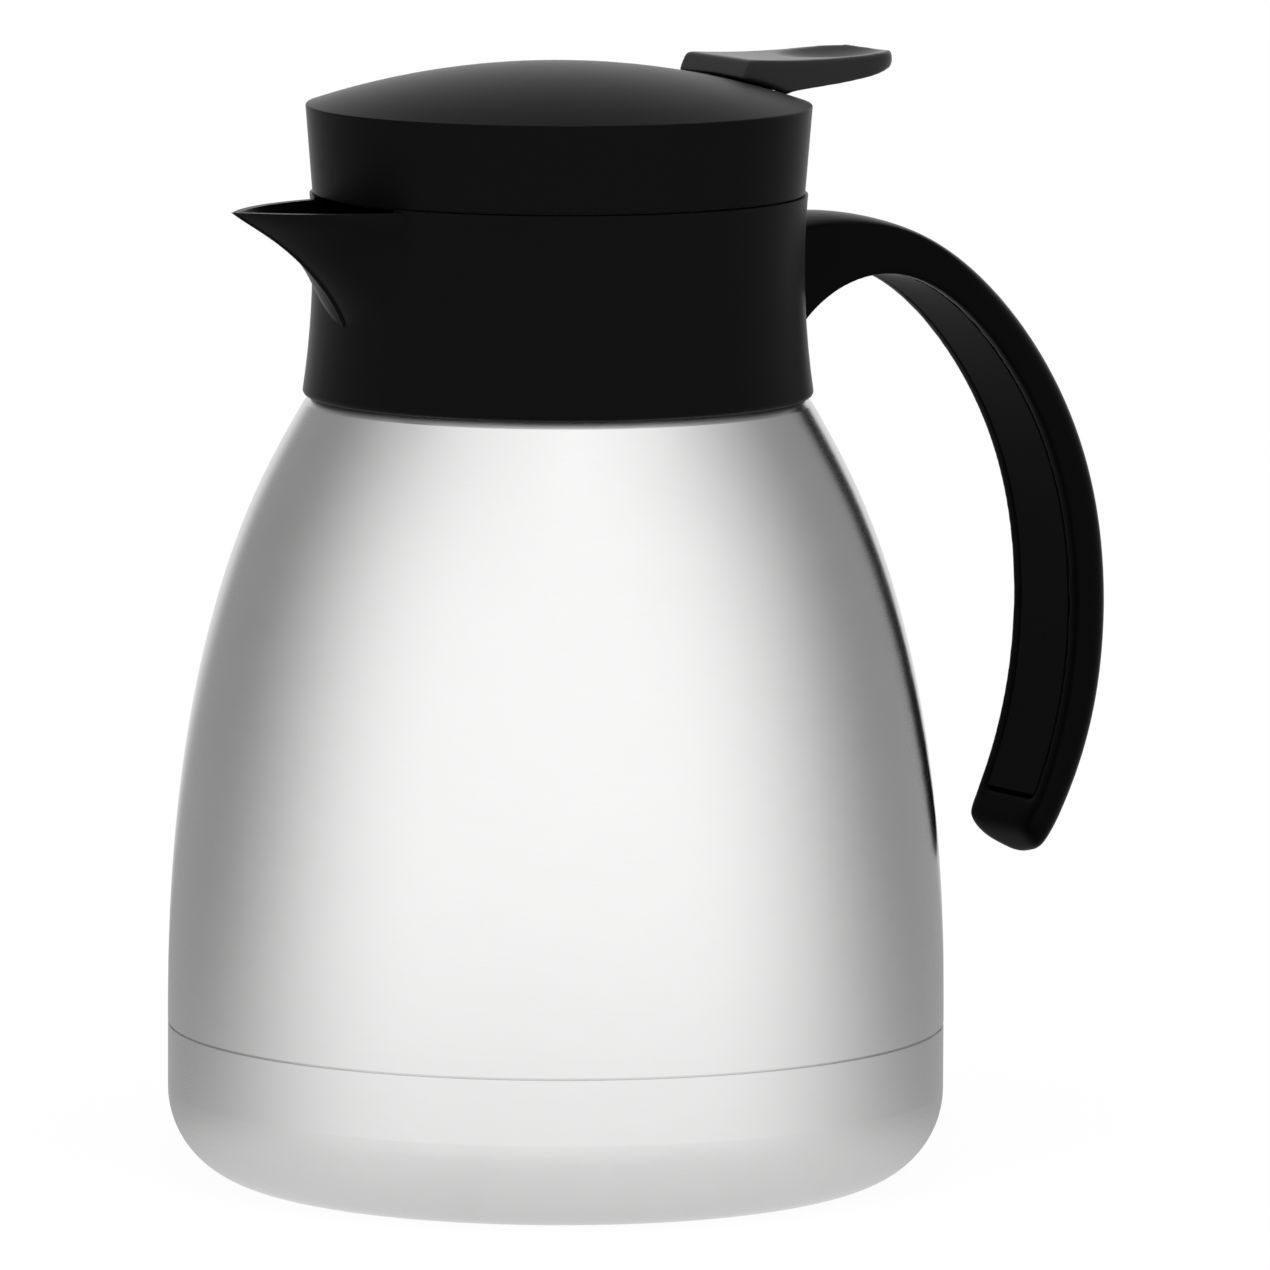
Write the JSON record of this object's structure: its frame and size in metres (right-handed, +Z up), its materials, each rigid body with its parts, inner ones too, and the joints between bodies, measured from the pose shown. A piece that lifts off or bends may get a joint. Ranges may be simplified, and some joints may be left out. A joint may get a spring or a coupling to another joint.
{
  "type": "thermal carafe with flip lever lid",
  "caption": "Double-walled steel serving carafe with pouring spout, open handle and turn-out stopper lid whose thumb lever opens a spring-loaded pour valve.",
  "frame": {"origin": "centre of the underside of the base pad, on the table", "axes": "+Z up along the axis of the body, +X towards the handle, -X towards the spout, +Y completes the right-handed frame"},
  "size_m": [0.1973, 0.15, 0.2164],
  "materials": {
    "body_steel": "fine circumferential brush, satin",
    "flask_steel": "plain drawn",
    "seal_glass": "solder glass, dull",
    "getter_metal": "sintered, dull",
    "pad_rubber": "matte",
    "seal_silicone": "satin silicone",
    "throat_plastic": "satin",
    "collar_plastic": "fine satin moulding",
    "handle_plastic": "fine satin moulding",
    "lid_plastic": "fine satin moulding",
    "lever_plastic": "fine satin moulding",
    "stopper_plastic": "plain moulding",
    "fastener_steel": "turned",
    "spring_steel": "drawn wire"
  },
  "bodies": {
    "vessel": {"outer_shell": "body_steel", "base_cup": "body_steel", "inner_flask": "flask_steel", "flask_bottom": "flask_steel", "exhaust_seal": "seal_glass", "getter": "getter_metal", "base_pad": "pad_rubber", "neck_gasket": "seal_silicone", "throat_ring": "throat_plastic", "collar": "collar_plastic", "handle_grip": "handle_plastic", "handle_cover": "handle_plastic", "handle_screws": "fastener_steel"},
    "stopper_ring": {"stopper_gasket": "seal_silicone"},
    "lid": {"lid_cap": "lid_plastic", "stopper_body": "stopper_plastic", "lid_screws": "fastener_steel", "lever_pin": "fastener_steel", "stem_seal": "seal_silicone", "return_spring": "spring_steel"},
    "lever": {"thumb_lever": "lever_plastic"},
    "valve": {"valve_stem": "fastener_steel", "stem_cap": "stopper_plastic", "valve_disc": "stopper_plastic", "valve_gasket": "seal_silicone", "valve_nut": "fastener_steel"}
  },
  "joints": [
    {"name": "lid_lift", "type": "slide", "parent": "vessel", "child": "stopper_ring", "axis": [0, 0, 1], "range_m": [0, 0.1]},
    {"name": "lid_turn", "type": "hinge", "parent": "stopper_ring", "child": "lid", "pos_m": [0, 0, 0.19], "axis": [0, 0, 1], "range_deg": [0, 90]},
    {"name": "lever_press", "type": "hinge", "parent": "lid", "child": "lever", "pos_m": [0.041, 0, 0.2045], "axis": [0, 1, 0], "range_deg": [0, 9.5]},
    {"name": "valve_lift", "type": "slide", "parent": "lid", "child": "valve", "axis": [0, 0, 1], "range_m": [0, 0.0064], "stiffness_N_per_m": 300, "springref_m": -0.0035, "deforming": ["return_spring"]}
  ],
  "couplings": [
    {"joint": "lever_press", "follows": "valve_lift", "rad_per_m": 24.39}
  ]
}
